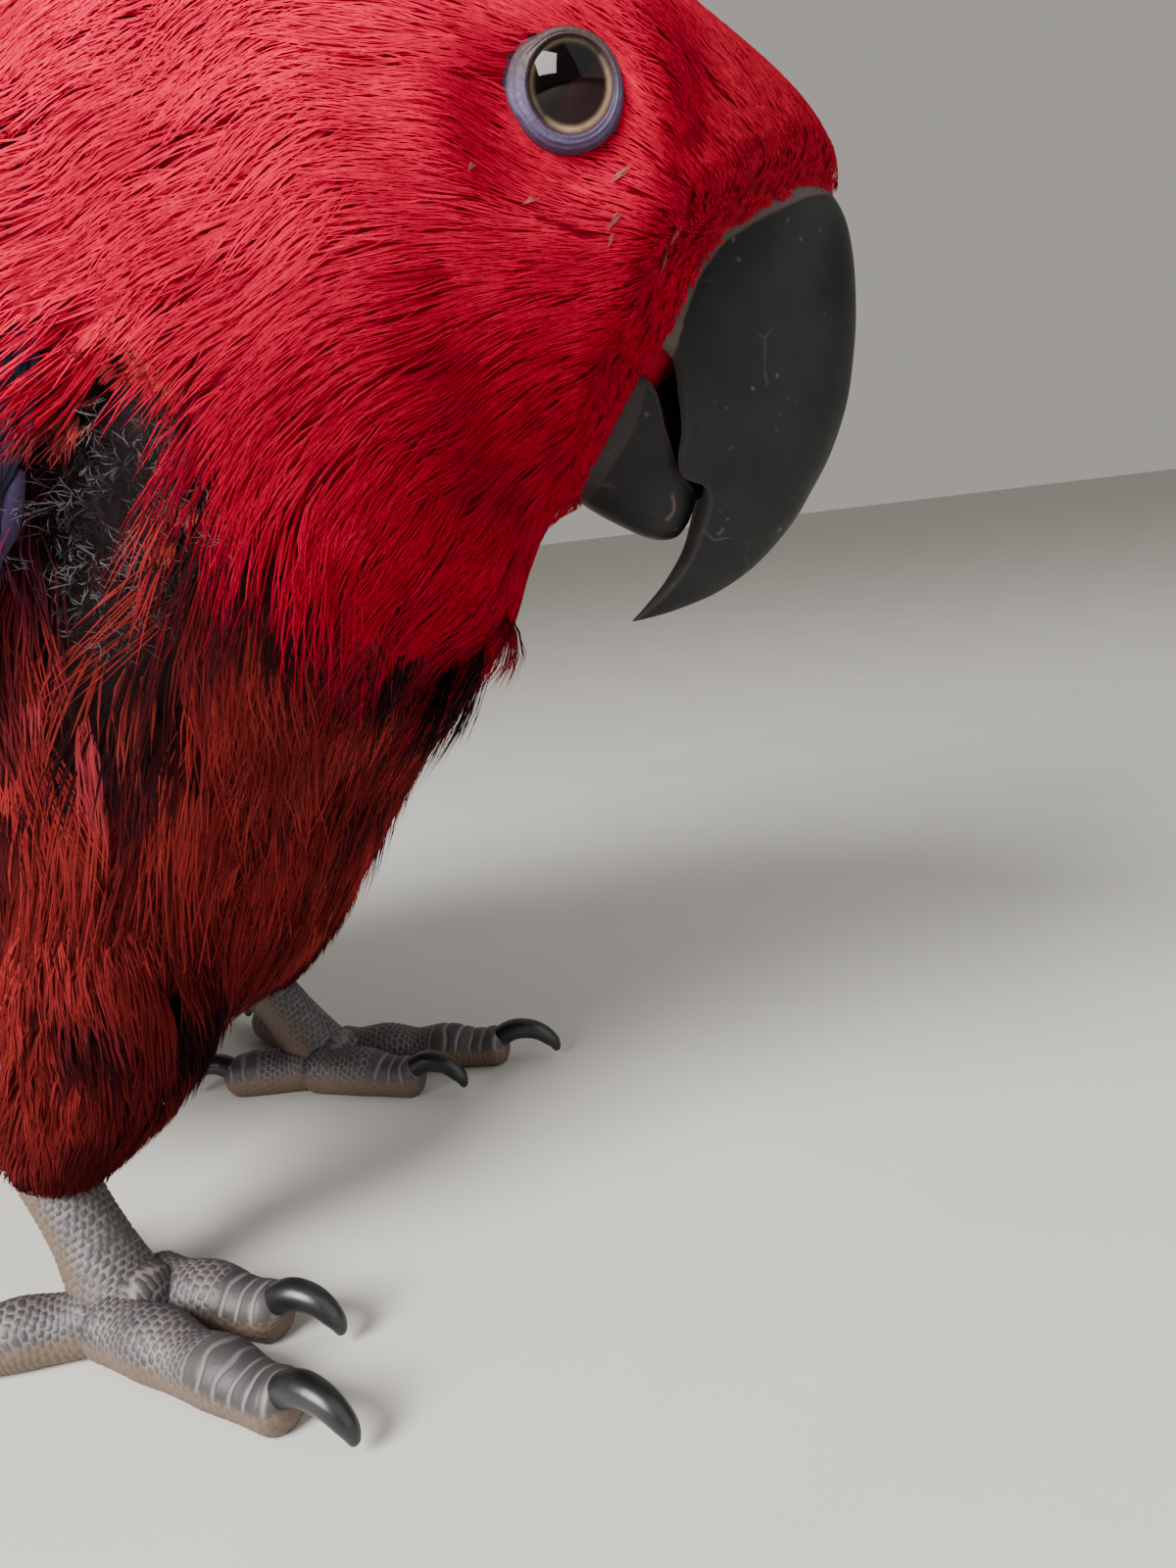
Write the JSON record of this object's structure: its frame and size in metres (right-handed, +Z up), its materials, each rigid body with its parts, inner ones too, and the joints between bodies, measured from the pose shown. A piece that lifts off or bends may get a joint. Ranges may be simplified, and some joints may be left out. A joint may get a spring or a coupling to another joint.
{
  "type": "eclectus parrot",
  "caption": "Standing female eclectus parrot with a hooked dark bill, red hood, folded wings and a short square tail touching the floor.",
  "frame": {"origin": "on the floor under the middle of the bird's box", "axes": "+Z up, the body's breast toward -Y, tail toward +Y, the bird's right side toward -X"},
  "size_m": [0.0976, 0.296, 0.136],
  "materials": {
    "hood_feathers": "vivid red plumage, matt to silky",
    "body_feathers": "dark red plumage with violet patches, matt",
    "wing_feathers": "maroon vanes with violet-blue bend and flight feathers",
    "tail_feathers": "red vanes with paler orange tips",
    "bill": "charcoal horn, matt with fine scratches",
    "eye": "wet glossy dark brown",
    "eyelid_skin": "bare violet-grey skin",
    "foot_scales": "grey scaled skin, matt",
    "claw_horn": "black horn, glossy"
  },
  "bodies": {
    "root": {"head": "hood_feathers", "neck": "hood_feathers", "torso": "body_feathers", "upper_bill": "bill", "lower_bill": "bill", "eye_right": "eye", "eye_left": "eye", "eyelid_right": "eyelid_skin", "eyelid_left": "eyelid_skin", "wing_right": "wing_feathers", "wing_left": "wing_feathers", "tail": "tail_feathers", "thigh_right": "body_feathers", "tarsus_right": "foot_scales", "toe_hallux_right": "foot_scales", "claw_hallux_right": "claw_horn", "toe_inner_right": "foot_scales", "claw_inner_right": "claw_horn", "toe_outer_right": "foot_scales", "claw_outer_right": "claw_horn", "toe_rear_right": "foot_scales", "claw_rear_right": "claw_horn", "thigh_left": "body_feathers", "tarsus_left": "foot_scales", "toe_hallux_left": "foot_scales", "claw_hallux_left": "claw_horn", "toe_inner_left": "foot_scales", "claw_inner_left": "claw_horn", "toe_outer_left": "foot_scales", "claw_outer_left": "claw_horn", "toe_rear_left": "foot_scales", "claw_rear_left": "claw_horn"}
  },
  "joints": []
}
